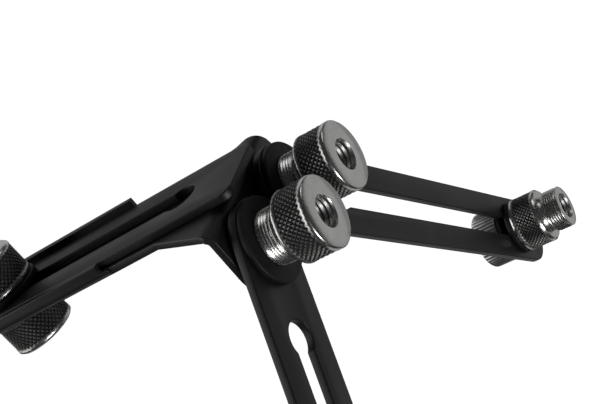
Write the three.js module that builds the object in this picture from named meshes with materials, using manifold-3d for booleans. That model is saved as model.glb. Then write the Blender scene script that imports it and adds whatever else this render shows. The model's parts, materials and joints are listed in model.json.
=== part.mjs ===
// Twin-arm microphone boom bracket: a bent steel hub slides on a slotted bar, clamps to a stand, and carries
// two slotted swing arms, each with a sliding 5/8 inch microphone adapter.
// Millimetres, +Z up, +X from the stand towards the two pivots, +Y to the left when looking along +X.
// The origin is the centre of the stand socket's open lower face.
import * as THREE from "three";
import { mergeVertices } from "three/addons/utils/BufferGeometryUtils.js";
import Module from "manifold-3d";

// ---- driving dimensions ----
const barWidth = 25.4; // every slotted bar is one inch wide
const barThickness = 2.5;
const slotWidth = 7.6;
const keyholeDiameter = 10.4; // lets a 3/8 inch thread through, which then slides on its narrow neck
const plateThickness = 2.3; // the hub bracket's steel
const pivotSpacing = 27;
const pivotPlaneX = 93; // front face of both arms
const pivotZ = -0.8;
const leftArmDroop = 44.25; // degrees below level
const rightArmDroop = 52;
const armReach = 173.7; // pivot to the far end
const carrierReach = 151.8; // pivot to microphone adapter
const knurlDiameter = 20.8;
const headLength = 11;
const studDiameter = 15.875; // 5/8 inch, 27 threads
const screwDiameter = 9.4; // 3/8 inch screw in its clearance holes
const screwCore = 8.2; // the same screw inside a threaded bore
const boreDiameter = 8.8;
const neckDiameter = 7.4; // the part of a screw that runs in a slot
const clearanceHole = 10;
const pivotWasherDiameter = 24.8;
const clampWasherDiameter = 22;
const frontWasherDiameter = 20.6;
const washerThickness = 2;
const gap = 0.1; // left between faces that touch

// ---- levels up the clamp stack, and along the pivots ----
const plateBottom = 11.7;
const barBottom = plateBottom + plateThickness + gap;
const barTop = barBottom + barThickness;
const clampWasherBottom = barTop + gap;
const clampAdapterBottom = clampWasherBottom + washerThickness + gap;
const armBackX = pivotPlaneX - barThickness;
const thinWasher = 1.3;
const headFrontX = armBackX - thinWasher - 2 * gap;
const headBackX = headFrontX - plateThickness;
const frontWasherX = pivotPlaneX + gap;
const adapterX = frontWasherX + washerThickness + gap;

const black = { color: 0x1a1b1d, roughness: 0.55, metalness: 0.3 };
const blackWasher = { color: 0x0d0d0e, roughness: 0.7, metalness: 0.1 };
const nickel = { color: 0x8c8c8a, roughness: 0.35, metalness: 0.9 };
const zinc = { color: 0x77787a, roughness: 0.45, metalness: 0.8 };

const wasm = await Module();
wasm.setup();

const toRadians = THREE.MathUtils.degToRad;

// ---- joining and cutting ----
function solidOf(geometry) {
  const bare = geometry.clone();
  bare.deleteAttribute("normal");
  bare.deleteAttribute("uv");
  const merged = mergeVertices(bare, 1e-4);
  const vertProperties = new Float32Array(merged.attributes.position.array);
  const triVerts = new Uint32Array(merged.index.array);
  return new wasm.Manifold(new wasm.Mesh({ numProp: 3, vertProperties, triVerts }));
}

function geometryOf(solid) {
  const mesh = solid.getMesh();
  const geometry = new THREE.BufferGeometry();
  geometry.setAttribute("position", new THREE.BufferAttribute(mesh.vertProperties, 3));
  geometry.setIndex(new THREE.BufferAttribute(mesh.triVerts, 1));
  geometry.computeVertexNormals();
  return geometry;
}

// ---- shared shapes ----
// A turned piece from [radius, distance] pairs, its axis along +X. A hollow one closes on itself.
function turned(profile, segments = 32) {
  const points = profile.map(([radius, along]) => new THREE.Vector2(radius, along));
  if (profile[0][0] > 0) points.push(points[0].clone());
  return new THREE.LatheGeometry(points, segments).rotateZ(-Math.PI / 2);
}

// The same piece stood up, with its axis along +Z.
function upright(geometry) {
  return geometry.rotateY(-Math.PI / 2);
}

function washer(outer, hole, thickness) {
  const edge = Math.min(0.4, thickness / 3);
  const [r, h] = [outer / 2, hole / 2];
  const back = [[h, 0], [r - edge, 0], [r, edge]];
  const front = [[r, thickness - edge], [r - edge, thickness], [h, thickness]];
  return turned([...back, ...front], 28);
}

// A flat outline raised to a thickness, its length along +Y, its width along Z and its thickness along +X.
function plateAcross(shape, thickness) {
  const settings = { depth: thickness, bevelEnabled: false, curveSegments: 7 };
  const geometry = new THREE.ExtrudeGeometry(shape, settings);
  const [x, y, z] = [new THREE.Vector3(1, 0, 0), new THREE.Vector3(0, 1, 0), new THREE.Vector3(0, 0, 1)];
  return geometry.applyMatrix4(new THREE.Matrix4().makeBasis(y, z, x));
}

function roundedOutline(start, end, startRadius, endRadius) {
  const half = barWidth / 2;
  const outline = new THREE.Shape();
  outline.moveTo(start + startRadius, -half);
  outline.lineTo(end - endRadius, -half);
  outline.absarc(end - endRadius, endRadius - half, endRadius, -Math.PI / 2, 0, false);
  if (endRadius < half) outline.lineTo(end, half - endRadius);
  outline.absarc(end - endRadius, half - endRadius, endRadius, 0, Math.PI / 2, false);
  outline.lineTo(start + startRadius, half);
  outline.absarc(start + startRadius, half - startRadius, startRadius, Math.PI / 2, Math.PI, false);
  if (startRadius < half) outline.lineTo(start, startRadius - half);
  outline.absarc(start + startRadius, startRadius - half, startRadius, Math.PI, 1.5 * Math.PI, false);
  return outline;
}

// A slot with a round end at slotEnd and a wider keyhole at the other.
function keyholeSlot(keyholeAt, slotEnd) {
  const half = slotWidth / 2;
  const radius = keyholeDiameter / 2;
  const mouth = Math.asin(half / radius);
  const neckAt = keyholeAt + radius * Math.cos(mouth);
  const slot = new THREE.Path();
  slot.moveTo(neckAt, -half);
  slot.lineTo(slotEnd - half, -half);
  slot.absarc(slotEnd - half, 0, half, -Math.PI / 2, Math.PI / 2, false);
  slot.lineTo(neckAt, half);
  slot.absarc(keyholeAt, 0, radius, mouth, 2 * Math.PI - mouth, false);
  return slot;
}

function roundHole(at, diameter) {
  const hole = new THREE.Path();
  hole.absarc(at, 0, diameter / 2, 0, 2 * Math.PI, false);
  return hole;
}

// ---- plates ----
const cornerRadius = 3.5;

function armPlate() {
  const outline = roundedOutline(-barWidth / 2, armReach, barWidth / 2, barWidth / 2);
  outline.holes.push(roundHole(0, clearanceHole), keyholeSlot(27, armReach - 8.7));
  return plateAcross(outline, barThickness);
}

const slideBarFront = 93.3;
const slideBarLength = 186;
const slideBarKeyhole = 22; // from the front end

function slideBar() {
  const outline = roundedOutline(0, slideBarLength, cornerRadius, cornerRadius);
  outline.holes.push(keyholeSlot(slideBarKeyhole, slideBarLength - 12));
  const settings = { depth: barThickness, bevelEnabled: false, curveSegments: 7 };
  return new THREE.ExtrudeGeometry(outline, settings).rotateZ(Math.PI).translate(slideBarFront, 0, barBottom);
}

const channelBack = -18;
const leftFlangeEnd = 47.4;
const rightFlangeEnd = 44.6; // stops short of the wing, which leaves a small relief step
const wingEnd = 47.4;
const stemHalfWidth = 14.2;
const flareStart = 64.8;
const headRight = 25.4; // the head reaches a little further out on the left than on the right
const headLeft = 27.2;
const headReach = Math.max(headLeft, headRight);
const flangeThickness = plateThickness;
const channelHalfWidth = barWidth / 2 + gap + flangeThickness;
const leftFlangeTop = barTop + 2;
const rightFlangeTop = barTop;
const bendRadius = 3.6; // outside of the bend
const headCorner = 12.4;
const headBottom = pivotZ - 13;

// The stem, the bend and the hanging head, seen from the side and as wide as the head.
function bentStrip() {
  const [x, z] = [headFrontX, plateBottom + plateThickness];
  const strip = new THREE.Shape();
  strip.moveTo(channelBack, z);
  strip.lineTo(channelBack, plateBottom);
  strip.lineTo(x - bendRadius, plateBottom);
  strip.absarc(x - bendRadius, z - bendRadius, bendRadius - plateThickness, Math.PI / 2, 0, true);
  strip.lineTo(headBackX, headBottom);
  strip.lineTo(x, headBottom);
  strip.lineTo(x, z - bendRadius);
  strip.absarc(x - bendRadius, z - bendRadius, bendRadius, 0, Math.PI / 2, false);
  const settings = { depth: 2 * headReach, bevelEnabled: false, curveSegments: 4 };
  return new THREE.ExtrudeGeometry(strip, settings).rotateX(Math.PI / 2).translate(0, headReach, 0);
}

// The outline from above: wings where the sides turn up, the stem, then a flare out to the head.
function planOutline() {
  const right = [
    [channelBack, channelHalfWidth],
    [wingEnd, channelHalfWidth],
    [wingEnd, stemHalfWidth],
    [flareStart, stemHalfWidth],
    [headFrontX - bendRadius + 1, headRight],
    [pivotPlaneX, headRight],
  ];
  const left = [
    [pivotPlaneX, headLeft],
    [headFrontX - 1, headLeft],
    [headFrontX - bendRadius - 2.4, 20.6],
    [flareStart, stemHalfWidth],
    [wingEnd, stemHalfWidth],
    [wingEnd, channelHalfWidth],
    [channelBack, channelHalfWidth],
  ];
  const outline = new THREE.Shape();
  right.forEach(([x, y], i) => (i ? outline.lineTo(x, -y) : outline.moveTo(x, -y)));
  left.forEach(([x, y]) => outline.lineTo(x, y));
  const settings = { depth: 60, bevelEnabled: false };
  return new THREE.ExtrudeGeometry(outline, settings).translate(0, 0, headBottom - 10);
}

// The head's outline from the front: round lower corners, and the left flare's slope at the top.
function headOutline() {
  const outline = new THREE.Shape();
  const top = plateBottom + plateThickness;
  outline.moveTo(headLeft, top - 6);
  outline.lineTo(headLeft - 1, top - 4);
  outline.lineTo(headLeft - 5.6, top);
  outline.lineTo(headLeft - 5.6, 40);
  outline.lineTo(-headRight, 40);
  const [r, z] = [headCorner, headBottom + headCorner];
  outline.absarc(r - headRight, z, r, Math.PI, 1.5 * Math.PI, false);
  outline.absarc(headLeft - r, z, r, 1.5 * Math.PI, 2 * Math.PI, false);
  return plateAcross(outline, 240).translate(-100, 0, 0);
}

// The channel's cross-section: a flat floor with both sides turned up round the slide bar.
function channel() {
  const [w, inner, r] = [channelHalfWidth, channelHalfWidth - flangeThickness, 2.2];
  const floor = plateBottom + plateThickness;
  const section = new THREE.Shape();
  section.moveTo(-w + r, plateBottom);
  section.lineTo(w - r, plateBottom);
  section.absarc(w - r, plateBottom + r, r, -Math.PI / 2, 0, false);
  section.lineTo(w, leftFlangeTop);
  section.lineTo(inner, leftFlangeTop);
  section.lineTo(inner, floor);
  section.lineTo(-inner, floor);
  section.lineTo(-inner, rightFlangeTop);
  section.lineTo(-w, rightFlangeTop);
  section.lineTo(-w, plateBottom + r);
  section.absarc(-w + r, plateBottom + r, r, Math.PI, 1.5 * Math.PI, false);
  return plateAcross(section, leftFlangeEnd - channelBack).translate(channelBack, 0, 0);
}

function peg(diameter, length) {
  return turned([[0, 0], [diameter / 2, 0], [diameter / 2, length], [0, length]], 28);
}

function hubBracket() {
  let bracket = solidOf(bentStrip()).intersect(solidOf(planOutline())).intersect(solidOf(headOutline()));
  const cornerTop = plateBottom + plateThickness - gap;
  const corners = new THREE.BoxGeometry(leftFlangeEnd - channelBack + 1, 2 * headReach, 3);
  corners.translate((leftFlangeEnd + channelBack - 1) / 2, 0, cornerTop - 1.5);
  const relief = new THREE.BoxGeometry(leftFlangeEnd - rightFlangeEnd + 1, 6, 10);
  relief.translate((leftFlangeEnd + rightFlangeEnd + 1) / 2, -channelHalfWidth, cornerTop + gap + 5);
  bracket = bracket.subtract(solidOf(corners)).add(solidOf(channel())).subtract(solidOf(relief));
  for (const side of [-1, 1]) {
    const hole = peg(clearanceHole, 20).translate(headBackX - 10, (side * pivotSpacing) / 2, pivotZ);
    bracket = bracket.subtract(solidOf(hole));
  }
  const clampHole = upright(peg(clearanceHole - 1.4, 20)).translate(0, 0, plateBottom - 5);
  return geometryOf(bracket.subtract(solidOf(clampHole)));
}

// ---- turned pieces ----
// Knurled head, relief groove and 5/8 inch stud on one 3/8 inch bore, the head at 0 and the stud towards +X.
const studLength = 8.2;

function adapter(studExposed = studLength) {
  const [head, stud, bore] = [knurlDiameter / 2, studDiameter / 2, boreDiameter / 2];
  const end = headLength + studExposed;
  return turned([
    [bore, 0],
    [head - 0.8, 0],
    [head, 0.8],
    [head, headLength - 1],
    [head - 1, headLength],
    [stud - 1, headLength],
    [stud - 1, headLength + 1.4],
    [stud, headLength + 2],
    [stud, end - 0.6],
    [stud - 0.6, end],
    [bore, end],
  ]);
}

// The pivot knob is the same adapter turned round, with its stud against the washer.
function pivotKnob() {
  return adapter(6.8).rotateY(Math.PI).translate(headLength + 6.8, 0, 0);
}

const socketHeight = plateBottom - gap;
const socketDepth = 7.2;

function standSocket() {
  const [outer, thread, bore] = [knurlDiameter / 2, 7.6, boreDiameter / 2];
  return upright(
    turned([
      [thread, 0],
      [outer - 0.8, 0],
      [outer, 0.8],
      [outer, socketHeight - 0.8],
      [outer - 0.8, socketHeight],
      [bore, socketHeight],
      [bore, socketDepth],
      [thread, socketDepth],
    ]),
  );
}

// The stud starts inside the socket: threaded there, then a narrow neck, then threaded again for the adapter.
function clampStud() {
  const [core, neck] = [screwCore / 2, neckDiameter / 2];
  const neckFrom = socketHeight - socketDepth;
  const neckTo = clampAdapterBottom - socketDepth;
  const end = neckTo + 9;
  const lower = [[0, 0], [core, 0], [core, neckFrom], [neck, neckFrom], [neck, neckTo]];
  const upper = [[core, neckTo], [core, end - 1], [core - 1, end], [0, end]];
  return upright(turned([...lower, ...upper], 24)).translate(0, 0, socketDepth);
}

const thumbHeadLength = 10;
const thumbHeadDiameter = 22;
const thumbHeadBack = armBackX - 2 * gap - 1.2 - thumbHeadLength;

function thumbScrew() {
  const [head, neck, core] = [thumbHeadDiameter / 2, neckDiameter / 2, screwCore / 2];
  const shoulder = adapterX - thumbHeadBack;
  const end = shoulder + 9;
  const length = thumbHeadLength;
  const knob = [[0, 0], [head - 1.2, 0], [head, 1.2], [head, length - 0.6], [head - 0.6, length]];
  const screw = [[neck, length], [neck, shoulder], [core, shoulder], [core, end - 1], [core - 1, end]];
  return turned([...knob, ...screw, [0, end]]);
}

const boltHeadHeight = 3;
const boltWasherX = headBackX - gap - thinWasher;

// A low round-head bolt with a hexagon socket: full shank up to the knob, then the screw's core inside it.
function pivotBolt() {
  const shankTo = adapterX - (boltWasherX - gap - boltHeadHeight);
  const end = shankTo + 10;
  const [shank, core] = [screwDiameter / 2, screwCore / 2];
  const roundHead = [[0, 0], [4.4, 0], [6.4, 0.7], [7.5, 1.8], [7.6, boltHeadHeight]];
  const tip = [[core, shankTo], [core, end - 1], [core - 1, end], [0, end]];
  const screw = [[shank, boltHeadHeight], [shank, shankTo], ...tip];
  const hexSocket = turned([[0, -1], [3.2, -1], [3.2, 2], [0, 2]], 6);
  return geometryOf(solidOf(turned([...roundHead, ...screw])).subtract(solidOf(hexSocket)));
}

// ---- assembly ----
function piece(name, geometry, finish, x = 0, y = 0, z = 0) {
  const mesh = new THREE.Mesh(geometry, new THREE.MeshStandardMaterial(finish));
  mesh.name = name;
  mesh.position.set(x, y, z);
  return mesh;
}

function clampPieces() {
  return [
    piece("stand_socket", standSocket(), nickel),
    piece("clamp_stud", clampStud(), zinc),
    piece("hub_bracket", hubBracket(), black),
    piece("slide_bar", slideBar(), black),
    piece("clamp_washer", upright(washer(clampWasherDiameter, 8.4, washerThickness)), blackWasher, 0, 0,
      clampWasherBottom),
    piece("clamp_adapter", upright(adapter()), nickel, 0, 0, clampAdapterBottom),
  ];
}

// What sits on one pivot, with the arm's own group turned to its droop.
function pivotPieces(side, angle) {
  const stack = new THREE.Group();
  const at = (x) => [x, 0, 0];
  stack.add(
    piece(`${side}_pivot_bolt`, pivotBolt(), zinc, ...at(boltWasherX - gap - boltHeadHeight)),
    piece(`${side}_bolt_washer`, washer(18, clearanceHole, thinWasher), zinc, ...at(boltWasherX)),
    piece(`${side}_friction_washer`, washer(22, clearanceHole, thinWasher), blackWasher,
      ...at(headFrontX + gap)),
    piece(`${side}_pivot_washer`, washer(pivotWasherDiameter, clearanceHole, washerThickness), blackWasher,
      ...at(frontWasherX)),
    piece(`${side}_pivot_knob`, pivotKnob(), nickel, ...at(adapterX)),
  );
  const arm = new THREE.Group();
  arm.rotation.x = toRadians(angle);
  const out = (x) => [x, carrierReach, 0];
  arm.add(
    piece(`${side}_arm`, armPlate(), black, ...at(armBackX)),
    piece(`${side}_thumb_screw`, thumbScrew(), nickel, ...out(thumbHeadBack)),
    piece(`${side}_rear_washer`, washer(20, 8.4, 1.2), blackWasher, ...out(armBackX - gap - 1.2)),
    piece(`${side}_front_washer`, washer(frontWasherDiameter, 8.4, washerThickness), blackWasher,
      ...out(frontWasherX)),
    piece(`${side}_mic_adapter`, adapter(), nickel, ...out(adapterX)),
  );
  stack.add(arm);
  return stack;
}

const bracket = new THREE.Group();
bracket.add(...clampPieces());
const sides = [["left", 1, -leftArmDroop], ["right", -1, 180 + rightArmDroop]];
for (const [side, sign, angle] of sides) {
  const stack = pivotPieces(side, angle);
  stack.position.set(0, (sign * pivotSpacing) / 2, pivotZ);
  bracket.add(stack);
}

export default bracket;
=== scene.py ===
import json
import math

import bmesh
import bpy
from mathutils import Matrix, Vector


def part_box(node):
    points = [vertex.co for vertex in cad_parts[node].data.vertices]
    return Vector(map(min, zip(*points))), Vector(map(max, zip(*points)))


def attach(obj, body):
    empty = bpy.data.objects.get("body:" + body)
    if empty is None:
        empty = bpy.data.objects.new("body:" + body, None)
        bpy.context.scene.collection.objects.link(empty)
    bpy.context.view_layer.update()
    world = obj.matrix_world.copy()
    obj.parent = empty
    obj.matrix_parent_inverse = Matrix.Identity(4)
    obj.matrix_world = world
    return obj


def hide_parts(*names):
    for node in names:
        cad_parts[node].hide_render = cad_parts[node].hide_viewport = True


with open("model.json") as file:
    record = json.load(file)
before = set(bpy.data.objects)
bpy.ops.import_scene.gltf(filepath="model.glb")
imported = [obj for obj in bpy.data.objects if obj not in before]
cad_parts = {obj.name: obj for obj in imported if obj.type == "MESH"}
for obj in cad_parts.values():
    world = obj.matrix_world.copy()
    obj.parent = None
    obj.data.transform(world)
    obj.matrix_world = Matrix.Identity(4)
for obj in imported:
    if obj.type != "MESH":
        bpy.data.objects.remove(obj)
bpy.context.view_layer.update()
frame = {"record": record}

# Twin-arm microphone boom bracket. Shapes are drawn in millimetres and put in their places in the frame.
millimetre = 0.001
mergeDistance = 0.0008  # in millimetres, as every drawn shape is
axisX, axisZ = Vector((1, 0, 0)), Vector((0, 0, 1))


def middleOf(node):
    low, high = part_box(node)
    return (low + high) / 2 / millimetre


def lowOf(node):
    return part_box(node)[0] / millimetre


def highOf(node):
    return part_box(node)[1] / millimetre


# ---- camera, floor and lights ----
cameraSettings = {
    "aim": (0.0986, 0.0027, -0.0024),
    "azimuth": 31.45,
    "elevation": 20.65,
    "roll": -39.7,
    "distance": 0.3226,
    "lens": 71.55,
}


def addCamera(settings):
    around, above = math.radians(settings["azimuth"]), math.radians(settings["elevation"])
    back = Vector((math.sin(around) * math.cos(above), -math.cos(around) * math.cos(above), math.sin(above)))
    data = bpy.data.cameras.new("camera")
    data.lens = settings["lens"]
    data.clip_start, data.clip_end = 0.01, 500
    camera = bpy.data.objects.new("camera", data)
    bpy.context.scene.collection.objects.link(camera)
    turn = (-back).to_track_quat("-Z", "Y").to_matrix().to_4x4()
    place = Vector(settings["aim"]) + back * settings["distance"]
    roll = Matrix.Rotation(math.radians(settings["roll"]), 4, "Z")
    camera.matrix_world = Matrix.Translation(place) @ turn @ roll
    bpy.context.scene.camera = camera


lightSettings = [
    {"name": "topSoftbox", "towards": (-0.49, 0.80, 0.35), "distance": 1.6, "width": 2.2, "height": 2.0,
     "watts": 4.8},
    {"name": "sideSoftbox", "towards": (0.49, 0.80, -0.35), "distance": 1.6, "width": 1.9, "height": 1.6,
     "watts": 2.9},
    {"name": "rimStrip", "towards": (0.62, -0.68, -0.38), "distance": 1.2, "width": 0.7, "height": 0.42,
     "watts": 6.0},
    {"name": "faceFill", "towards": (0.58, 0.43, 0.66), "distance": 1.4, "width": 0.5, "height": 0.5,
     "watts": 1.1},
    {"name": "backSoftbox", "towards": (-0.88, -0.32, 0.36), "distance": 1.6, "width": 2.0, "height": 1.8,
     "watts": 14.0},
    {"name": "underSoftbox", "towards": (-0.45, 0.25, -0.86), "distance": 1.6, "width": 1.8, "height": 1.6,
     "watts": 3.0},
]
worldGlow = 0.024  # what the dim room adds to the softboxes


def addLights():
    for settings in lightSettings:
        data = bpy.data.lights.new(settings["name"], "AREA")
        data.shape = "RECTANGLE"
        data.size, data.size_y = settings["width"], settings["height"]
        data.energy = settings["watts"]
        light = bpy.data.objects.new(settings["name"], data)
        towards = Vector(settings["towards"]).normalized()
        light.location = Vector(cameraSettings["aim"]) + towards * settings["distance"]
        light.rotation_mode = "QUATERNION"
        light.rotation_quaternion = (-towards).to_track_quat("-Z", "Y")
        light.visible_camera = False
        bpy.context.scene.collection.objects.link(light)
    world = bpy.data.worlds.new("room")
    bpy.context.scene.world = world
    world.use_nodes = True
    nodes, links = world.node_tree.nodes, world.node_tree.links
    nodes.clear()
    backdrop, room = nodes.new("ShaderNodeBackground"), nodes.new("ShaderNodeBackground")
    backdrop.inputs["Color"].default_value = (1, 1, 1, 1)
    room.inputs["Color"].default_value = (1, 1, 1, 1)
    room.inputs["Strength"].default_value = worldGlow
    path, mix = nodes.new("ShaderNodeLightPath"), nodes.new("ShaderNodeMixShader")
    output = nodes.new("ShaderNodeOutputWorld")
    links.new(path.outputs["Is Camera Ray"], mix.inputs["Fac"])
    links.new(room.outputs[0], mix.inputs[1])
    links.new(backdrop.outputs[0], mix.inputs[2])
    links.new(mix.outputs[0], output.inputs["Surface"])


def addFloor():
    bm = bmesh.new()
    bmesh.ops.create_grid(bm, x_segments=1, y_segments=1, size=150)
    bmesh.ops.translate(bm, vec=(0, 0, -1.2), verts=bm.verts)
    mesh = bpy.data.meshes.new("floor")
    bm.to_mesh(mesh)
    bm.free()
    floor = bpy.data.objects.new("floor", mesh)
    bpy.context.scene.collection.objects.link(floor)
    material = bpy.data.materials.new("paleFloor")
    material.use_nodes = True
    shader = material.node_tree.nodes["Principled BSDF"]
    shader.inputs["Base Color"].default_value = (0.8, 0.8, 0.8, 1)
    shader.inputs["Roughness"].default_value = 0.9
    shader.inputs["Emission Color"].default_value = (1, 1, 1, 1)
    shader.inputs["Emission Strength"].default_value = 1.0
    mesh.materials.append(material)
    floor.visible_diffuse = floor.visible_glossy = False  # the sweep stays out of the metal's reflections


addCamera(cameraSettings)
addLights()
addFloor()
bpy.context.scene.view_settings.view_transform = "Standard"
print("camera, lights and floor made")


# ---- materials ----
def newMaterial(name, colour, roughness, metallic, specular=0.5):
    material = bpy.data.materials.new(name)
    material.use_nodes = True
    shader = material.node_tree.nodes["Principled BSDF"]
    shader.inputs["Base Color"].default_value = (*colour, 1)
    shader.inputs["Roughness"].default_value = roughness
    shader.inputs["Metallic"].default_value = metallic
    shader.inputs["Specular IOR Level"].default_value = specular
    return material, shader, material.node_tree.nodes, material.node_tree.links


def addNoise(nodes, links, coordinates, scale, detail):
    noise = nodes.new("ShaderNodeTexNoise")
    noise.inputs["Scale"].default_value = scale
    noise.inputs["Detail"].default_value = detail
    links.new(coordinates, noise.inputs["Vector"])
    return noise.outputs["Fac"]


noiseLow, noiseHigh = 0.3, 0.7  # where a noise texture's values mostly lie


def addRange(nodes, links, value, low, high):
    spread = nodes.new("ShaderNodeMapRange")
    spread.inputs["From Min"].default_value = noiseLow
    spread.inputs["From Max"].default_value = noiseHigh
    spread.inputs["To Min"].default_value = low
    spread.inputs["To Max"].default_value = high
    links.new(value, spread.inputs["Value"])
    return spread.outputs["Result"]


def addTint(nodes, links, value, dark, pale):
    ramp = nodes.new("ShaderNodeValToRGB")
    low, high = ramp.color_ramp.elements
    low.position, high.position = noiseLow, noiseHigh
    low.color, high.color = (*dark, 1), (*pale, 1)
    links.new(value, ramp.inputs["Fac"])
    return ramp.outputs["Color"]


def addBump(nodes, links, height, depth, normal=None):
    bump = nodes.new("ShaderNodeBump")
    bump.inputs["Strength"].default_value = 1.0
    bump.inputs["Distance"].default_value = depth
    links.new(height, bump.inputs["Height"])
    if normal:
        links.new(normal, bump.inputs["Normal"])
    return bump.outputs["Normal"]


coatSettings = {
    "dark": (0.0085, 0.0085, 0.0088),
    "pale": (0.0125, 0.0125, 0.0128),
    "grainScale": 2600,
    "grainDepth": 0.000012,
    "patchScale": 55,
    "smooth": 0.40,
    "dull": 0.50,
}


def blackCoatMaterial():
    s = coatSettings
    material, shader, nodes, links = newMaterial("blackCoat", s["pale"], 0.45, 0.0)
    place = nodes.new("ShaderNodeTexCoord").outputs["Object"]
    patches = addNoise(nodes, links, place, s["patchScale"], 4)
    grain = addNoise(nodes, links, place, s["grainScale"], 2)
    links.new(addTint(nodes, links, patches, s["dark"], s["pale"]), shader.inputs["Base Color"])
    links.new(addRange(nodes, links, patches, s["smooth"], s["dull"]), shader.inputs["Roughness"])
    links.new(addBump(nodes, links, grain, s["grainDepth"]), shader.inputs["Normal"])
    return material


washerSettings = {"dark": (0.006, 0.006, 0.006), "pale": (0.011, 0.011, 0.011), "grainScale": 1500,
                  "grainDepth": 0.00003}


def blackWasherMaterial():
    s = washerSettings
    material, shader, nodes, links = newMaterial("blackWasherNylon", s["pale"], 0.6, 0.0, 0.4)
    place = nodes.new("ShaderNodeTexCoord").outputs["Object"]
    grain = addNoise(nodes, links, place, s["grainScale"], 3)
    links.new(addTint(nodes, links, grain, s["dark"], s["pale"]), shader.inputs["Base Color"])
    links.new(addRange(nodes, links, grain, 0.5, 0.66), shader.inputs["Roughness"])
    links.new(addBump(nodes, links, grain, s["grainDepth"]), shader.inputs["Normal"])
    return material


def turnedMetalMaterial(name, settings, centre, along):
    # plated metal with fine rings round the piece's own axis, as the lathe left them
    s = settings
    material, shader, nodes, links = newMaterial(name, s["pale"], s["smooth"], 1.0)
    place = nodes.new("ShaderNodeTexCoord").outputs["Object"]
    mapping = nodes.new("ShaderNodeMapping")
    mapping.inputs["Location"].default_value = -centre * millimetre
    links.new(place, mapping.inputs["Vector"])
    rings = nodes.new("ShaderNodeTexWave")
    rings.wave_type = "RINGS"
    rings.rings_direction = along
    rings.inputs["Scale"].default_value = s["ringScale"]
    rings.inputs["Distortion"].default_value = 1.2
    rings.inputs["Detail"].default_value = 2.0
    rings.inputs["Detail Scale"].default_value = 3.0
    links.new(mapping.outputs["Vector"], rings.inputs["Vector"])
    grain = addNoise(nodes, links, mapping.outputs["Vector"], s["grainScale"], 3)
    patches = addNoise(nodes, links, mapping.outputs["Vector"], s["patchScale"], 3)
    # the recess attribute mixes in the painted shade colour: fully in hollows, in part on the knurl's points
    # and in the bore
    recess = nodes.new("ShaderNodeAttribute")
    recess.attribute_name = "recess"
    blend = nodes.new("ShaderNodeMix")
    blend.data_type = "RGBA"
    blend.inputs["B"].default_value = (*s["hollowShade"], 1)
    links.new(recess.outputs["Fac"], blend.inputs["Factor"])
    links.new(addTint(nodes, links, patches, s["dark"], s["pale"]), blend.inputs["A"])
    links.new(blend.outputs["Result"], shader.inputs["Base Color"])
    matt = nodes.new("ShaderNodeMath")
    matt.operation = "MULTIPLY_ADD"
    matt.inputs[1].default_value = 0.32  # how much duller the knurl's hollows are than the turned faces
    links.new(recess.outputs["Fac"], matt.inputs[0])
    links.new(addRange(nodes, links, grain, s["smooth"], s["dull"]), matt.inputs[2])
    links.new(matt.outputs["Value"], shader.inputs["Roughness"])
    ringNormal = addBump(nodes, links, rings.outputs["Fac"], s["ringDepth"])
    links.new(addBump(nodes, links, grain, s["grainDepth"], ringNormal), shader.inputs["Normal"])
    return material


nickelSettings = {
    "dark": (0.72, 0.715, 0.705), "pale": (0.86, 0.855, 0.845), "smooth": 0.22, "dull": 0.30,
    "hollowShade": (0.035, 0.034, 0.033),  # painted shade for the knurl's hollows, its points in part, the bore and the thumb screw's ribs
    "ringScale": 420, "ringDepth": 0.0000012, "grainScale": 1800, "grainDepth": 0.000001, "patchScale": 260,
}
zincSettings = {
    "dark": (0.34, 0.34, 0.345), "pale": (0.47, 0.47, 0.475), "smooth": 0.34, "dull": 0.48,
    "hollowShade": (0.05, 0.05, 0.05),
    "ringScale": 500, "ringDepth": 0.000004, "grainScale": 1500, "grainDepth": 0.000008, "patchScale": 180,
}
blackCoat = blackCoatMaterial()
washerBlack = blackWasherMaterial()
print("materials made")


# ---- helpers ----
def radiusOf(vert):
    return math.hypot(vert.co.y, vert.co.z)


def cleanUp(bm):
    bmesh.ops.remove_doubles(bm, verts=bm.verts, dist=mergeDistance)
    bmesh.ops.recalc_face_normals(bm, faces=bm.faces)


def spinProfile(bm, profile, steps, closed=False):
    # turns (radius, along) pairs round the X axis
    verts = [bm.verts.new((along, 0, radius)) for radius, along in profile]
    pairs = list(zip(verts, verts[1:])) + ([(verts[-1], verts[0])] if closed else [])
    edges = [bm.edges.new(pair) for pair in pairs]
    made = bmesh.ops.spin(bm, geom=verts + edges, cent=(0, 0, 0), axis=axisX, angle=2 * math.pi, steps=steps,
                          use_merge=True, use_duplicate=False)
    bmesh.ops.remove_doubles(bm, verts=bm.verts, dist=mergeDistance)
    return made


def joinInto(bm, other):
    carrier = bpy.data.meshes.new("carrier")
    other.to_mesh(carrier)
    other.free()
    bm.from_mesh(carrier)
    bpy.data.meshes.remove(carrier)


threadSection = ((0.0, 0.0), (0.16, 0.22), (0.34, 0.78), (0.5, 1.0), (0.66, 0.78), (0.84, 0.22), (1.0, 0.0))


runOutPitches = 0.6


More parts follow.
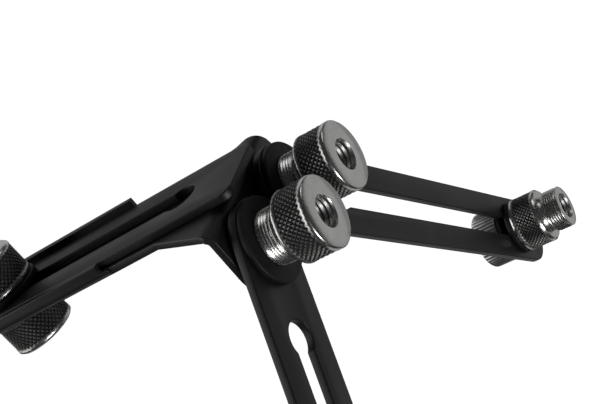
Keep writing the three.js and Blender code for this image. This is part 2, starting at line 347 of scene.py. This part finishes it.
def addThread(bm, start, end, pitch, root, crest, roundSteps):
    # a right-hand thread's surface between two planes, open at both, where it runs out to its root
    other = bmesh.new()
    first = start - 1.5 * pitch
    turns = math.ceil((end - start) / pitch) + 3
    verts = [other.verts.new((first + share * pitch, 0, root + (crest - root) * height))
             for share, height in threadSection]
    edges = [other.edges.new(pair) for pair in zip(verts, verts[1:])]
    bmesh.ops.spin(other, geom=verts + edges, cent=(0, 0, 0), axis=axisX, dvec=(pitch / roundSteps, 0, 0),
                   angle=2 * math.pi * turns, steps=turns * roundSteps, use_merge=False, use_duplicate=False)
    bmesh.ops.remove_doubles(other, verts=other.verts, dist=0.002)
    for place, outwards in ((start, -1), (end, 1)):
        geom = other.verts[:] + other.edges[:] + other.faces[:]
        bmesh.ops.bisect_plane(other, geom=geom, dist=0.0005, plane_co=(place, 0, 0),
                               plane_no=(outwards, 0, 0), clear_outer=True)
    for vert in other.verts:
        inside = min(vert.co.x - start, end - vert.co.x)
        runOut = min(1.0, inside / (runOutPitches * pitch))
        radius = radiusOf(vert)
        reach = (root + (radius - root) * max(0.0, runOut)) / radius
        vert.co.y *= reach
        vert.co.z *= reach
    bmesh.ops.remove_doubles(other, verts=other.verts, dist=0.004)
    joinInto(bm, other)


def openRing(bm, along, low, high):
    # the open edges that lie at one place along the axis, between two radii
    return [e for e in bm.edges if e.is_boundary
            and all(abs(v.co.x - along) < 0.003 and low < radiusOf(v) < high for v in e.verts)]


def bridge(bm, *rings):
    edges = [e for ring in rings for e in openRing(bm, *ring)]
    bmesh.ops.bridge_loops(bm, edges=edges)


def rimEdges(bm, radius):
    # edges that run round the axis at one radius
    return [e for e in bm.edges if abs(e.verts[0].co.x - e.verts[1].co.x) < 1e-4
            and all(abs(radiusOf(v) - radius) < 0.01 for v in e.verts)]


def roundEdges(bm, edges, offset, segments):
    return bmesh.ops.bevel(bm, geom=edges, offset=offset, segments=segments, profile=0.5, affect="EDGES",
                           material=-1, clamp_overlap=True)


def makePiece(bm, name, body, material, place, flatAbove=None, sharpAngle=32):
    # finishes a mesh drawn in millimetres as a piece that stands for the CAD node of nearly the same name
    bmesh.ops.transform(bm, matrix=Matrix.Scale(millimetre, 4) @ place, verts=bm.verts)
    for face in bm.faces:
        face.smooth = flatAbove is None or face.calc_area() < flatAbove * millimetre ** 2
    loose = sum(1 for e in bm.edges if not e.is_manifold)
    mesh = bpy.data.meshes.new(name)
    bm.to_mesh(mesh)
    bm.free()
    mesh.set_sharp_from_angle(angle=math.radians(sharpAngle))
    mesh.materials.append(material)
    piece = bpy.data.objects.new(name, mesh)
    bpy.context.scene.collection.objects.link(piece)
    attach(piece, body)
    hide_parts(name.replace("look_", "", 1))
    print(name, len(mesh.polygons), "faces,", loose, "open edges")
    return piece


def standUp(place):
    # turns a piece drawn along +X to +Z
    return Matrix.Translation(place) @ Matrix.Rotation(math.radians(-90), 4, "Y")


def arc(x, y, radius, start, end, steps):
    angles = [math.radians(start + (end - start) * i / steps) for i in range(steps + 1)]
    return [(x + radius * math.cos(a), y + radius * math.sin(a)) for a in angles]


# ---- slotted plates ----
plateSettings = {
    "halfWidth": 12.7,
    "thickness": 2.5,
    "halfSlot": 3.8,
    "keyhole": 5.2,
    "corner": 3.5,  # the slide bar's corners; the arms' ends are fully round
    "armReach": 173.7,
    "armKeyhole": 27.0,  # from the pivot
    "armSlotMargin": 8.7,  # left beyond the slot
    "pivotHole": 5.0,
    "barLength": 186.0,
    "barKeyhole": 22.0,  # from the front end
    "barSlotMargin": 12.0,
    "rim": 0.32,
    "rimSegments": 3,
}


def slotOutline(keyholeAt, slotEnd):
    # half of a keyhole slot, from its round end on the axis to the keyhole's far side on the axis
    s = plateSettings
    mouth = math.degrees(math.asin(s["halfSlot"] / s["keyhole"]))
    roundEnd = arc(slotEnd - s["halfSlot"], 0, s["halfSlot"], 0, 90, 8)
    return roundEnd + arc(keyholeAt, 0, s["keyhole"], mouth, 180, 14)


def plateFromHalf(outline, thickness, rim, rimSegments):
    # half of a plate as a single face, mirrored across its axis, raised and with its rims rounded
    bm = bmesh.new()
    bm.faces.new([bm.verts.new((x, y, 0)) for x, y in outline])
    bmesh.ops.mirror(bm, geom=bm.faces[:] + bm.edges[:] + bm.verts[:], merge_dist=0.001, axis="Y")
    cleanUp(bm)
    raised = bmesh.ops.extrude_face_region(bm, geom=bm.faces[:])
    top = [v for v in raised["geom"] if isinstance(v, bmesh.types.BMVert)]
    bmesh.ops.translate(bm, vec=(0, 0, thickness), verts=top)
    bmesh.ops.recalc_face_normals(bm, faces=bm.faces)
    rims = [e for e in bm.edges if len(e.link_faces) == 2
            and abs(abs(e.link_faces[0].normal.z) - abs(e.link_faces[1].normal.z)) > 0.5]
    roundEdges(bm, rims, rim, rimSegments)
    return bm


def armMesh():
    s = plateSettings
    reach, half = s["armReach"], s["halfWidth"]
    outline = arc(0, 0, half, 180, 90, 20) + arc(reach - half, 0, half, 90, 0, 20)
    outline += slotOutline(s["armKeyhole"], reach - s["armSlotMargin"])
    outline += arc(0, 0, s["pivotHole"], 0, 180, 16)
    return plateFromHalf(outline, s["thickness"], s["rim"], s["rimSegments"])


def slideBarMesh():
    s = plateSettings
    length, half, corner = s["barLength"], s["halfWidth"], s["corner"]
    outline = [(0, 0)] + arc(corner, half - corner, corner, 180, 90, 8)
    outline += arc(length - corner, half - corner, corner, 90, 0, 8) + [(length, 0)]
    outline += slotOutline(s["barKeyhole"], length - s["barSlotMargin"])
    return plateFromHalf(outline, s["thickness"], s["rim"], s["rimSegments"])


armTurns = {"left": -44.25, "right": 180 + 52.0}  # from +Y, about +X


def makePlates():
    barLow = lowOf("slide_bar")
    front = highOf("slide_bar").x
    place = Matrix.Translation((front, 0, barLow.z)) @ Matrix.Rotation(math.pi, 4, "Z")
    makePiece(slideBarMesh(), "look_slide_bar", "slide_bar", blackCoat, place, flatAbove=6)
    # length to +Y, thickness to +X
    lieAcross = Matrix(((0, 0, 1, 0), (1, 0, 0, 0), (0, 1, 0, 0), (0, 0, 0, 1)))
    for side, turn in armTurns.items():
        pivot = middleOf(f"{side}_pivot_washer")
        back = lowOf(f"{side}_arm").x
        place = (Matrix.Translation((back, pivot.y, pivot.z)) @ Matrix.Rotation(math.radians(turn), 4, "X")
                 @ lieAcross)
        makePiece(armMesh(), f"look_{side}_arm", f"{side}_arm", blackCoat, place, flatAbove=6)


makePlates()
print("plates made")


# ---- hub bracket ----
hubSettings = {
    "back": -18.0,
    "bottom": 11.7,
    "thickness": 2.3,
    "floorHalf": 12.9,  # where the sides start to turn up
    "flangeRadius": 2.2,
    "flangeRise": {1: 4.7, -1: 2.7},  # straight part above the bend, left and right
    "flangeEnd": {1: 47.4, -1: 44.6},
    "wingEnd": 47.4,
    "stemHalf": 14.2,
    "flareStart": 64.8,
    "bendStart": 85.4,
    "bendRadius": 3.6,
    "flareElbow": (83.0, 20.6),  # where the left flare steepens
    "flareEnd": 86.4,  # of the right flare
    "headHalf": {1: 27.2, -1: 25.4},
    "pivotHeight": -0.8,
    "pivotOut": 13.5,
    "pivotHole": 5.0,
    "lobe": 12.4,
    "lobeBottom": -13.8,
    "clampHole": 4.3,
    "rim": 0.35,
}


def hubOutline(side, bendEnd, lobeEnd):
    # half of the flat blank on one side, from the back to the lowest point of the head
    s = hubSettings
    arcLength = s["flangeRadius"] * math.pi / 2
    tip = s["floorHalf"] + arcLength + s["flangeRise"][side]
    wing = s["floorHalf"] + arcLength + 0.3
    outline = [(s["back"], tip), (s["flangeEnd"][side], tip)]
    if s["flangeEnd"][side] < s["wingEnd"]:
        outline += [(s["flangeEnd"][side], wing + 0.7), (s["flangeEnd"][side] + 0.7, wing)]
        outline += [(s["wingEnd"] - 0.3, wing)]
    outline += [(s["wingEnd"], wing - 0.3), (s["wingEnd"], s["stemHalf"]), (s["flareStart"], s["stemHalf"])]
    half = s["headHalf"][side]
    if side > 0:
        outline += [s["flareElbow"], (bendEnd - 2.4, half - 3.0), (bendEnd + 0.6, half - 0.6)]
        outline += [(bendEnd + 2.8, half)]
    else:
        outline += [(s["flareEnd"], half)]
    return outline + arc(lobeEnd - s["lobe"], half - s["lobe"], s["lobe"], 90, 0, 14)


def hubMesh():
    # the flat blank of the bracket, cut at its bend lines and folded
    s = hubSettings
    arcLength = s["flangeRadius"] * math.pi / 2
    turned = s["floorHalf"] + arcLength
    top = s["bottom"] + s["thickness"]
    neutral = s["bendRadius"] - s["thickness"] / 2
    bendEnd = s["bendStart"] + neutral * math.pi / 2
    lobeEnd = bendEnd + top - s["bendRadius"] - s["lobeBottom"]
    pivotAt = bendEnd + top - s["bendRadius"] - s["pivotHeight"]
    left, right = hubOutline(1, bendEnd, lobeEnd), hubOutline(-1, bendEnd, lobeEnd)
    bm = bmesh.new()
    blank = left + [(x, -y) for x, y in right[::-1]]
    bm.faces.new([bm.verts.new((x, y, 0)) for x, y in blank])
    holes = [(0, 0, s["clampHole"])] + [(pivotAt, sign * s["pivotOut"], s["pivotHole"]) for sign in (1, -1)]
    for x, y, radius in holes:
        ring = bmesh.ops.create_circle(bm, segments=48, radius=radius, cap_ends=False)["verts"]
        bmesh.ops.translate(bm, vec=(x, y, 0), verts=ring)
    edges = bm.edges[:]
    bmesh.ops.delete(bm, geom=bm.faces[:], context="FACES_ONLY")
    bmesh.ops.triangle_fill(bm, edges=edges, use_beauty=True, use_dissolve=False, normal=axisZ)
    bmesh.ops.recalc_face_normals(bm, faces=bm.faces)
    raised = bmesh.ops.extrude_face_region(bm, geom=bm.faces[:])
    bmesh.ops.translate(bm, vec=(0, 0, s["thickness"]),
                        verts=[v for v in raised["geom"] if isinstance(v, bmesh.types.BMVert)])
    bmesh.ops.recalc_face_normals(bm, faces=bm.faces)
    flat = [e for e in bm.edges if len(e.link_faces) == 2
            and all(abs(f.normal.z) > 0.9 for f in e.link_faces)]
    bmesh.ops.dissolve_edges(bm, edges=flat, use_verts=False)
    rims = [e for e in bm.edges if len(e.link_faces) == 2
            and abs(abs(e.link_faces[0].normal.z) - abs(e.link_faces[1].normal.z)) > 0.5]
    roundEdges(bm, rims, s["rim"], 3)
    cuts = [((place, 0, 0), (1, 0, 0)) for place in (s["wingEnd"] + 0.2, s["flareStart"])]
    for sign in (1, -1):
        cuts += [((0, sign * (s["floorHalf"] + arcLength * i / 6), 0), (0, 1, 0)) for i in range(-1, 8)]
    cuts += [((s["bendStart"] + (bendEnd - s["bendStart"]) * i / 10, 0, 0), (1, 0, 0)) for i in range(-1, 12)]
    for point, normal in cuts:
        geom = bm.verts[:] + bm.edges[:] + bm.faces[:]
        bmesh.ops.bisect_plane(bm, geom=geom, dist=0.001, plane_co=point, plane_no=normal)
    for vert in bm.verts:
        along, across, up = vert.co
        sign, out = (1 if across > 0 else -1), abs(across)
        x, y, z = along, across, s["bottom"] + up
        if along < s["wingEnd"] + 0.1 and out > s["floorHalf"]:
            angle = min((out - s["floorHalf"]) / s["flangeRadius"], math.pi / 2)
            rise = max(0.0, out - turned)
            reach = s["flangeRadius"] - up
            y = sign * (s["floorHalf"] + reach * math.sin(angle))
            z = s["bottom"] + s["flangeRadius"] - reach * math.cos(angle) + rise
        elif along > s["bendStart"]:
            angle = min((along - s["bendStart"]) / neutral, math.pi / 2)
            drop = max(0.0, along - bendEnd)
            reach = s["bendRadius"] - (s["thickness"] - up)
            x = s["bendStart"] + reach * math.sin(angle)
            z = top - s["bendRadius"] + reach * math.cos(angle) - drop
        vert.co = (x, y, z)
    cleanUp(bm)
    return bm


makePiece(hubMesh(), "look_hub_bracket", "hub", blackCoat, Matrix.Identity(4), flatAbove=6)
print("hub made")


# ---- washers ----
def washerMesh(outer, hole, thickness, rim):
    bm = bmesh.new()
    spinProfile(bm, [(hole, 0), (outer, 0), (outer, thickness), (hole, thickness)], 84, closed=True)
    cleanUp(bm)
    roundEdges(bm, rimEdges(bm, outer), rim, 3)
    roundEdges(bm, rimEdges(bm, hole), 0.15, 1)
    return bm


washerKinds = {
    "clamp_washer": {"outer": 11.0, "hole": 4.2, "thickness": 2.0, "rim": 0.55},
    "pivot_washer": {"outer": 12.4, "hole": 5.0, "thickness": 2.0, "rim": 0.55},
    "front_washer": {"outer": 10.3, "hole": 4.2, "thickness": 2.0, "rim": 0.55},
    "rear_washer": {"outer": 10.0, "hole": 4.2, "thickness": 1.2, "rim": 0.35},
    "friction_washer": {"outer": 11.0, "hole": 5.0, "thickness": 1.3, "rim": 0.35},
    "bolt_washer": {"outer": 9.0, "hole": 5.0, "thickness": 1.3, "rim": 0.25},
}


def bodyOf(node):
    return next(body for body, nodes in frame["record"]["behaviour"]["bodies"].items() if node in nodes)


def makeWashers():
    for kind, settings in washerKinds.items():
        nodes = [kind] if kind == "clamp_washer" else [f"{side}_{kind}" for side in armTurns]
        for node in nodes:
            centre, low = middleOf(node), lowOf(node)
            if kind == "clamp_washer":
                place = standUp((centre.x, centre.y, low.z))
            else:
                place = Matrix.Translation((low.x, centre.y, centre.z))
            material, slot = washerBlack, "black_washer"
            if kind == "bolt_washer":
                material, slot = turnedMetalMaterial(f"zinc_{node}", zincSettings, centre, "X"), "zinc_steel"
            makePiece(washerMesh(**settings), f"look_{node}", bodyOf(node), material, place)


makeWashers()
print("washers made")


# ---- knurled adapters ----
adapterSettings = {
    "head": 10.4,
    "headLength": 11.0,
    "faceChamfer": 0.4,
    "faceBand": 1.1,  # plain band between the flat face and the knurl
    "rimBand": 0.9,  # chamfer at the stud's side
    "knurlRound": 40,
    "knurlRows": 11,
    "knurlDepth": 0.5,
    "groove": 6.94,
    "grooveLength": 1.4,
    "stud": 7.94,
    "studRoot": 7.36,
    "studPitch": 25.4 / 27,
    "boreMouth": 4.75,
    "endMouth": 5.0,  # the bore's countersink at the stud's end
    "boreMinor": 4.0,
    "boreMajor": 4.5,
    "borePitch": 25.4 / 16,
    "mouthChamfer": 0.4,
    # painted shade inside the bore, as a share of the hollows' shade colour
    "boreShade": 0.5,
}


def knurlRowsOf(start, end, rows):
    return [start + (end - start) * i / rows for i in range(rows + 1)]


knurlShade = 0.62  # how far the knurl's points are dulled and darkened with painted shade, from 0 as on a turned face to 1 as in its hollows


def pressKnurl(bm, head, start, end, rows, countRound, depth):
    # sinks every second vertex of the knurled rows, which leaves rows of small pyramids
    rowHeight = (end - start) / rows
    # the knurl is marked for painted shade: its sunk vertices fully, its points in part
    recess = bm.verts.layers.float.new("recess")
    for vert in bm.verts:
        radius = radiusOf(vert)
        if abs(radius - head) > 0.01 or not start + 0.01 < vert.co.x < end - 0.01:
            continue
        vert[recess] = knurlShade
        row = round((vert.co.x - start) / rowHeight)
        step = round(math.atan2(vert.co.y, vert.co.z) / (math.pi / countRound))
        if (row + step) % 2:
            shrink = (radius - depth) / radius
            vert.co.y *= shrink
            vert.co.z *= shrink
            vert[recess] = 1.0
    facets = [f for f in bm.faces if len(f.verts) == 4
              and all(start - 0.01 < v.co.x < end + 0.01 for v in f.verts)
              and all(radiusOf(v) > head - depth - 0.01 for v in f.verts)]
    bmesh.ops.triangulate(bm, faces=facets, quad_method="SHORT_EDGE")


def adapterMesh(studExposed):
    # knurled head with its flat face at 0, a relief groove and the threaded stud, on a threaded bore
    s = adapterSettings
    head, length = s["head"], s["headLength"]
    end = length + studExposed
    knurlStart, knurlEnd = s["faceBand"], length - s["rimBand"]
    bm = bmesh.new()
    profile = [(s["boreMouth"], 0), (head - s["faceChamfer"], 0), (head, s["faceChamfer"])]
    profile += [(head, row) for row in knurlRowsOf(knurlStart, knurlEnd, s["knurlRows"])]
    profile += [(head - 0.8, length), (s["groove"], length), (s["groove"], length + s["grooveLength"])]
    spinProfile(bm, profile, 2 * s["knurlRound"])
    pressKnurl(bm, head, knurlStart, knurlEnd, s["knurlRows"], s["knurlRound"], s["knurlDepth"])
    threadStart, threadEnd = length + s["grooveLength"] + 0.45, end - 0.65
    spinProfile(bm, [(7.86, end - 0.4), (7.86, end - 0.22), (7.64, end), (s["endMouth"], end)], 64)
    addThread(bm, threadStart, threadEnd, s["studPitch"], s["studRoot"], s["stud"], 56)
    boreStart, boreEnd = s["mouthChamfer"], end - 1.5 * s["mouthChamfer"]
    addThread(bm, boreStart, boreEnd, s["borePitch"], s["boreMajor"], s["boreMinor"], 40)
    bridge(bm, (length + s["grooveLength"], 6.5, 7.2), (threadStart, 7.2, 8.1))
    bridge(bm, (threadEnd, 7.2, 8.1), (end - 0.4, 7.8, 7.9))
    bridge(bm, (end, 4.9, 5.1), (boreEnd, 3.8, 4.7))
    bridge(bm, (0, 4.6, 4.9), (boreStart, 3.8, 4.7))
    # the bore's threads get painted shade, half way to the hollows' shade colour
    recess = bm.verts.layers.float["recess"]
    for vert in bm.verts:
        if radiusOf(vert) < s["boreMajor"] + 0.1:
            vert[recess] = s["boreShade"]
    bmesh.ops.recalc_face_normals(bm, faces=bm.faces)
    return bm


def makeAdapters():
    headLength = adapterSettings["headLength"]
    low, high = lowOf("clamp_adapter"), highOf("clamp_adapter")
    centre = middleOf("clamp_adapter")
    place = standUp((centre.x, centre.y, low.z)) @ Matrix.Rotation(0.4, 4, "X")
    nickel = turnedMetalMaterial("nickel_clamp_adapter", nickelSettings, centre, "Z")
    makePiece(adapterMesh(high.z - low.z - headLength), "look_clamp_adapter", bodyOf("clamp_adapter"),
              nickel, place, sharpAngle=46)
    for index, side in enumerate(armTurns):
        for kind in ("pivot_knob", "mic_adapter"):
            node = f"{side}_{kind}"
            centre, low, high = middleOf(node), lowOf(node), highOf(node)
            place = Matrix.Translation((low.x, centre.y, centre.z)) @ Matrix.Rotation(1.1 + index, 4, "X")
            if kind == "pivot_knob":
                place = Matrix.Translation((high.x, centre.y, centre.z)) @ Matrix.Rotation(math.pi, 4, "Z")
                place = place @ Matrix.Rotation(0.6 + 1.7 * index, 4, "X")
            nickel = turnedMetalMaterial(f"nickel_{node}", nickelSettings, centre, "X")
            makePiece(adapterMesh(high.x - low.x - headLength), f"look_{node}", bodyOf(node),
                      nickel, place, sharpAngle=46)


makeAdapters()
print("adapters made")


# ---- stand socket ----
socketSettings = {"height": 11.6, "depth": 7.2, "mouth": 8.1, "minor": 7.3, "major": 7.86, "bore": 4.4}


def socketMesh():
    s, a = socketSettings, adapterSettings
    head, height = a["head"], s["height"]
    knurlStart, knurlEnd = 1.1, height - 1.1
    bm = bmesh.new()
    profile = [(s["mouth"], 0), (head - 0.6, 0), (head, 0.6)]
    profile += [(head, row) for row in knurlRowsOf(knurlStart, knurlEnd, a["knurlRows"])]
    profile += [(head, height - 0.6), (head - 0.6, height), (s["bore"], height), (s["bore"], s["depth"]),
                (s["major"], s["depth"])]
    spinProfile(bm, profile, 2 * a["knurlRound"])
    pressKnurl(bm, head, knurlStart, knurlEnd, a["knurlRows"], a["knurlRound"], a["knurlDepth"])
    addThread(bm, 0.7, s["depth"] - 0.5, a["studPitch"], s["major"], s["minor"], 56)
    bridge(bm, (0, 8.0, 8.2), (0.7, 7.2, 7.95))
    bridge(bm, (s["depth"], 7.8, 7.95), (s["depth"] - 0.5, 7.2, 7.95))
    bmesh.ops.recalc_face_normals(bm, faces=bm.faces)
    return bm


def makeSocket():
    centre, low = middleOf("stand_socket"), lowOf("stand_socket")
    nickel = turnedMetalMaterial("nickel_stand_socket", nickelSettings, centre, "Z")
    makePiece(socketMesh(), "look_stand_socket", bodyOf("stand_socket"), nickel,
              standUp((centre.x, centre.y, low.z)), sharpAngle=46)


makeSocket()
print("stand socket made")


# ---- screws ----
def threadedEnd(bm, start, end, minor, major, shank):
    # a screw's threaded end: from a shank's open ring at start to a chamfered point at end
    tip = end - 0.9
    addThread(bm, start + 0.3, tip, adapterSettings["borePitch"], minor, major, 40)
    spinProfile(bm, [(minor - 0.35, end), (0, end)], 32)
    bridge(bm, (start, shank - 0.05, shank + 0.05), (start + 0.3, minor - 0.1, major + 0.1))
    bridge(bm, (tip, minor - 0.1, major + 0.1), (end, minor - 0.4, minor - 0.3))


thumbSettings = {"head": 11.0, "length": 10.0, "ribs": 46, "ribDepth": 0.5, "neck": 3.7, "shoulder": 16.1,
                 "end": 25.1, "minor": 3.45, "major": 3.9}


def thumbScrewMesh():
    s = thumbSettings
    head, length = s["head"], s["length"]
    bm = bmesh.new()
    profile = [(0, 0.5), (5.6, 0.5), (6.2, 0), (head - 1.3, 0), (head - 0.65, 0.17), (head - 0.17, 0.65)]
    profile += [(head, 1.3), (head, length - 0.9), (head - 0.5, length)]
    profile += [(s["neck"], length), (s["neck"], s["shoulder"])]
    spinProfile(bm, profile, 2 * s["ribs"])
    # the ribs' hollows are marked for painted shade through the recess attribute
    recess = bm.verts.layers.float.new("recess")
    for vert in bm.verts:
        step = round(math.atan2(vert.co.y, vert.co.z) / (math.pi / s["ribs"]))
        if radiusOf(vert) > head - 0.2 and step % 2:
            shrink = (radiusOf(vert) - s["ribDepth"]) / radiusOf(vert)
            vert.co.y *= shrink
            vert.co.z *= shrink
            vert[recess] = 1.0
    threadedEnd(bm, s["shoulder"], s["end"], s["minor"], s["major"], s["neck"])
    bmesh.ops.recalc_face_normals(bm, faces=bm.faces)
    return bm


boltSettings = {"height": 3.0, "head": 7.6, "socket": 3.2, "socketDepth": 2.0, "shank": 4.7, "shankTo": 13.0,
                "end": 23.0, "minor": 3.45, "major": 3.9}


def roundBoltMesh():
    # low round head with a hexagon socket, a plain shank and a threaded end
    s = boltSettings
    bm = bmesh.new()
    crown = [(4.4, 0), (5.5, 0.22), (6.4, 0.7), (7.1, 1.25), (7.5, 1.8), (s["head"], 2.4)]
    crown += [(s["head"], s["height"]), (s["shank"], s["height"])]
    spinProfile(bm, crown + [(s["shank"], s["shankTo"])], 48)
    socket = bmesh.ops.create_circle(bm, segments=6, radius=s["socket"], cap_ends=True)["verts"]
    bmesh.ops.rotate(bm, verts=socket, cent=(0, 0, 0), matrix=Matrix.Rotation(math.radians(90), 3, "Y"))
    floor = [f for f in bm.faces if len(f.verts) == 6]
    sunk = bmesh.ops.extrude_face_region(bm, geom=floor)
    bmesh.ops.delete(bm, geom=floor, context="FACES_ONLY")
    bmesh.ops.translate(bm, vec=(s["socketDepth"], 0, 0),
                        verts=[v for v in sunk["geom"] if isinstance(v, bmesh.types.BMVert)])
    bmesh.ops.bridge_loops(bm, edges=openRing(bm, 0, 2.7, 4.5))
    threadedEnd(bm, s["shankTo"], s["end"], s["minor"], s["major"], s["shank"])
    bmesh.ops.recalc_face_normals(bm, faces=bm.faces)
    return bm


studSettings = {"neckFrom": 4.4, "neckTo": 11.6, "end": 20.6, "minor": 3.45, "major": 3.9, "neck": 3.7}


def clampStudMesh():
    s = studSettings
    bm = bmesh.new()
    spinProfile(bm, [(s["neck"], s["neckFrom"]), (s["neck"], s["neckTo"])], 40)
    threadedEnd(bm, s["neckTo"], s["end"], s["minor"], s["major"], s["neck"])
    spinProfile(bm, [(0, 0), (s["major"], 0), (s["major"], s["neckFrom"] - 0.2)], 40)
    bridge(bm, (s["neckFrom"] - 0.2, s["major"] - 0.05, s["major"] + 0.05),
           (s["neckFrom"], s["neck"] - 0.05, s["neck"] + 0.05))
    bmesh.ops.recalc_face_normals(bm, faces=bm.faces)
    return bm


def makeScrews():
    centre, low = middleOf("clamp_stud"), lowOf("clamp_stud")
    zinc = turnedMetalMaterial("zinc_clamp_stud", zincSettings, centre, "Z")
    makePiece(clampStudMesh(), "look_clamp_stud", bodyOf("clamp_stud"), zinc,
              standUp((centre.x, centre.y, low.z)))
    for side in armTurns:
        for kind, mesh, settings, slot in (("thumb_screw", thumbScrewMesh, nickelSettings, "satin_nickel"),
                                           ("pivot_bolt", roundBoltMesh, zincSettings, "zinc_steel")):
            node = f"{side}_{kind}"
            centre, low = middleOf(node), lowOf(node)
            material = turnedMetalMaterial(f"{slot}_{node}", settings, centre, "X")
            place = Matrix.Translation((low.x, centre.y, centre.z))
            makePiece(mesh(), f"look_{node}", bodyOf(node), material, place)


makeScrews()
print("screws made")
